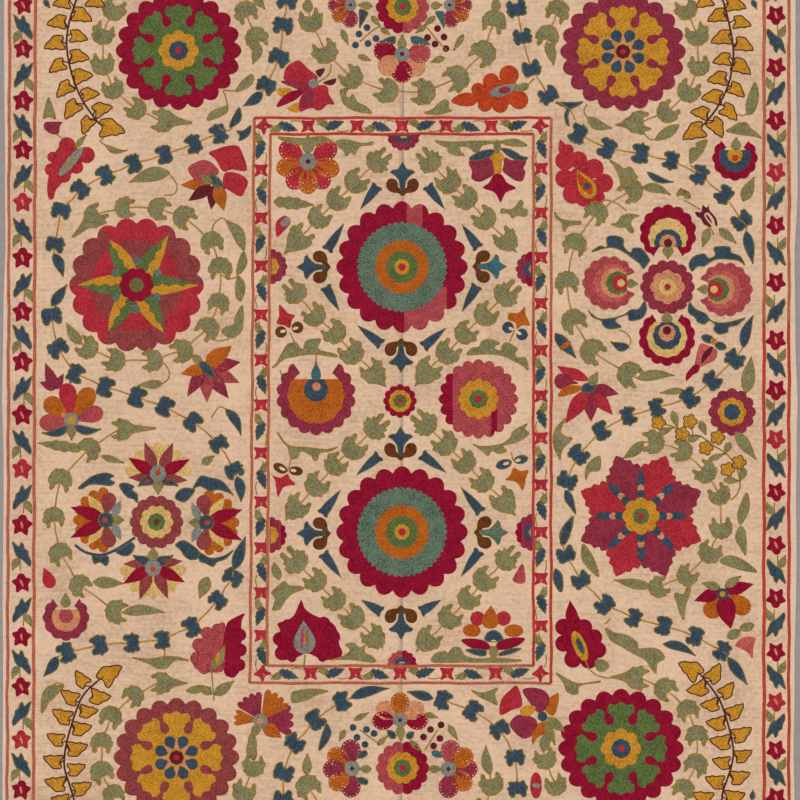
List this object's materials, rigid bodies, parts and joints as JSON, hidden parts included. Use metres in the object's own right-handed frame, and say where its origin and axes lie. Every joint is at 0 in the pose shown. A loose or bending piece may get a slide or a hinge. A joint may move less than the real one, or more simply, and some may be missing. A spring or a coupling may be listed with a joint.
{
  "type": "suzani embroidered wall cloth",
  "caption": "Flat embroidered cotton cloth of two sewn panels, with floral rosettes, an inner framed panel and a blossom border, laid face up.",
  "frame": {"origin": "middle of the underside", "axes": "+X across the cloth, +Y along it towards its top end, +Z out of its face"},
  "size_m": [1.592, 2.136, 0.0018],
  "materials": {
    "left_cotton": "matt plain-woven cotton, tan with age",
    "right_cotton": "matt plain-woven cotton, tan with age"
  },
  "bodies": {
    "root": {"left_panel": "left_cotton", "right_panel": "right_cotton"}
  },
  "joints": []
}
